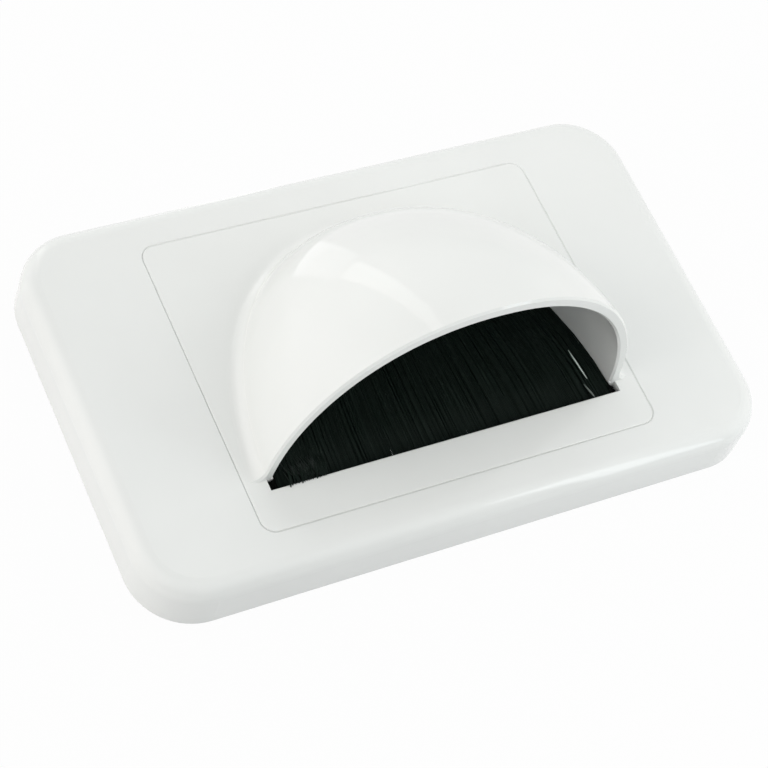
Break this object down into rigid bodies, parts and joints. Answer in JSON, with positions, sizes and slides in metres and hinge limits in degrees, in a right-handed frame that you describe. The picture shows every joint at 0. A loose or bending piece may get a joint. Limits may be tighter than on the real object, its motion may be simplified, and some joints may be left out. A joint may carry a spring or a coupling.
{
  "type": "bullnose wall plate",
  "caption": "Flush wall plate with a half-dome cable hood over a brush-lined opening, a clip-on cover and hidden fixing slots.",
  "frame": {"origin": "centre of the plate's back face, which lies on the wall", "axes": "+X along the plate's length, the hood's mouth faces -Y, +Z out of the wall"},
  "size_m": [0.115, 0.07, 0.0438],
  "materials": {
    "cover_plastic": "smooth white moulding with a soft gloss",
    "hood_plastic": "smooth white moulding with a soft gloss",
    "bristle_nylon": "black nylon filaments with a dull sheen",
    "channel_metal": "folded strip, mill finish",
    "wire_steel": "drawn wire",
    "retainer_plastic": "plain white moulding",
    "screw_steel": "bright zinc-plated steel"
  },
  "bodies": {
    "root": {"cover_plate": "cover_plastic", "hood_plate": "hood_plastic", "brush_bristles": "bristle_nylon", "brush_channel": "channel_metal", "brush_core_wire": "wire_steel", "brush_retainer": "retainer_plastic", "retainer_screws": "screw_steel"}
  },
  "joints": []
}
